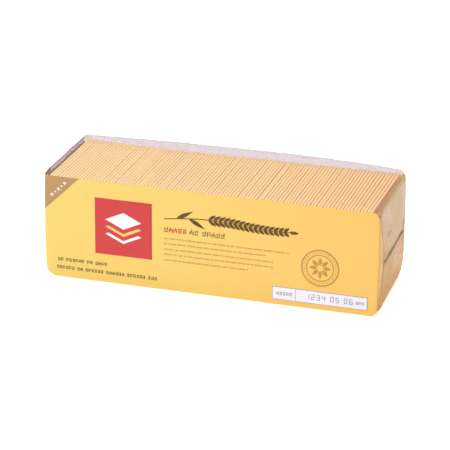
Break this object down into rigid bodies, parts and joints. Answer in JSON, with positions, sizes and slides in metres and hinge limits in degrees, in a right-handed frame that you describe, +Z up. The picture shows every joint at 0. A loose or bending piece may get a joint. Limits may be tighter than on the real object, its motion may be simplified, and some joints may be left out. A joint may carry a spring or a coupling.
{
  "type": "pack of sliced cheese",
  "caption": "Long loaf-shaped film pack of wrapped square cheese slices on edge, printed on its sides and clear over the top.",
  "frame": {"origin": "middle of the bottom of the pack", "axes": "+X along the pack to the right as seen from the printed front, -Y out of the printed front, +Z up"},
  "size_m": [0.2708, 0.0926, 0.0913],
  "materials": {
    "cheese": "soft pale orange cheese under thin clear wraps with whitish edges",
    "printed_film": "opaque yellow printed film with a satin gloss and fine wrinkles",
    "clear_film": "clear glossy film, slightly milky at its folds"
  },
  "bodies": {
    "root": {"slice_stack": "cheese", "printed_film": "printed_film", "clear_film": "clear_film"}
  },
  "joints": []
}
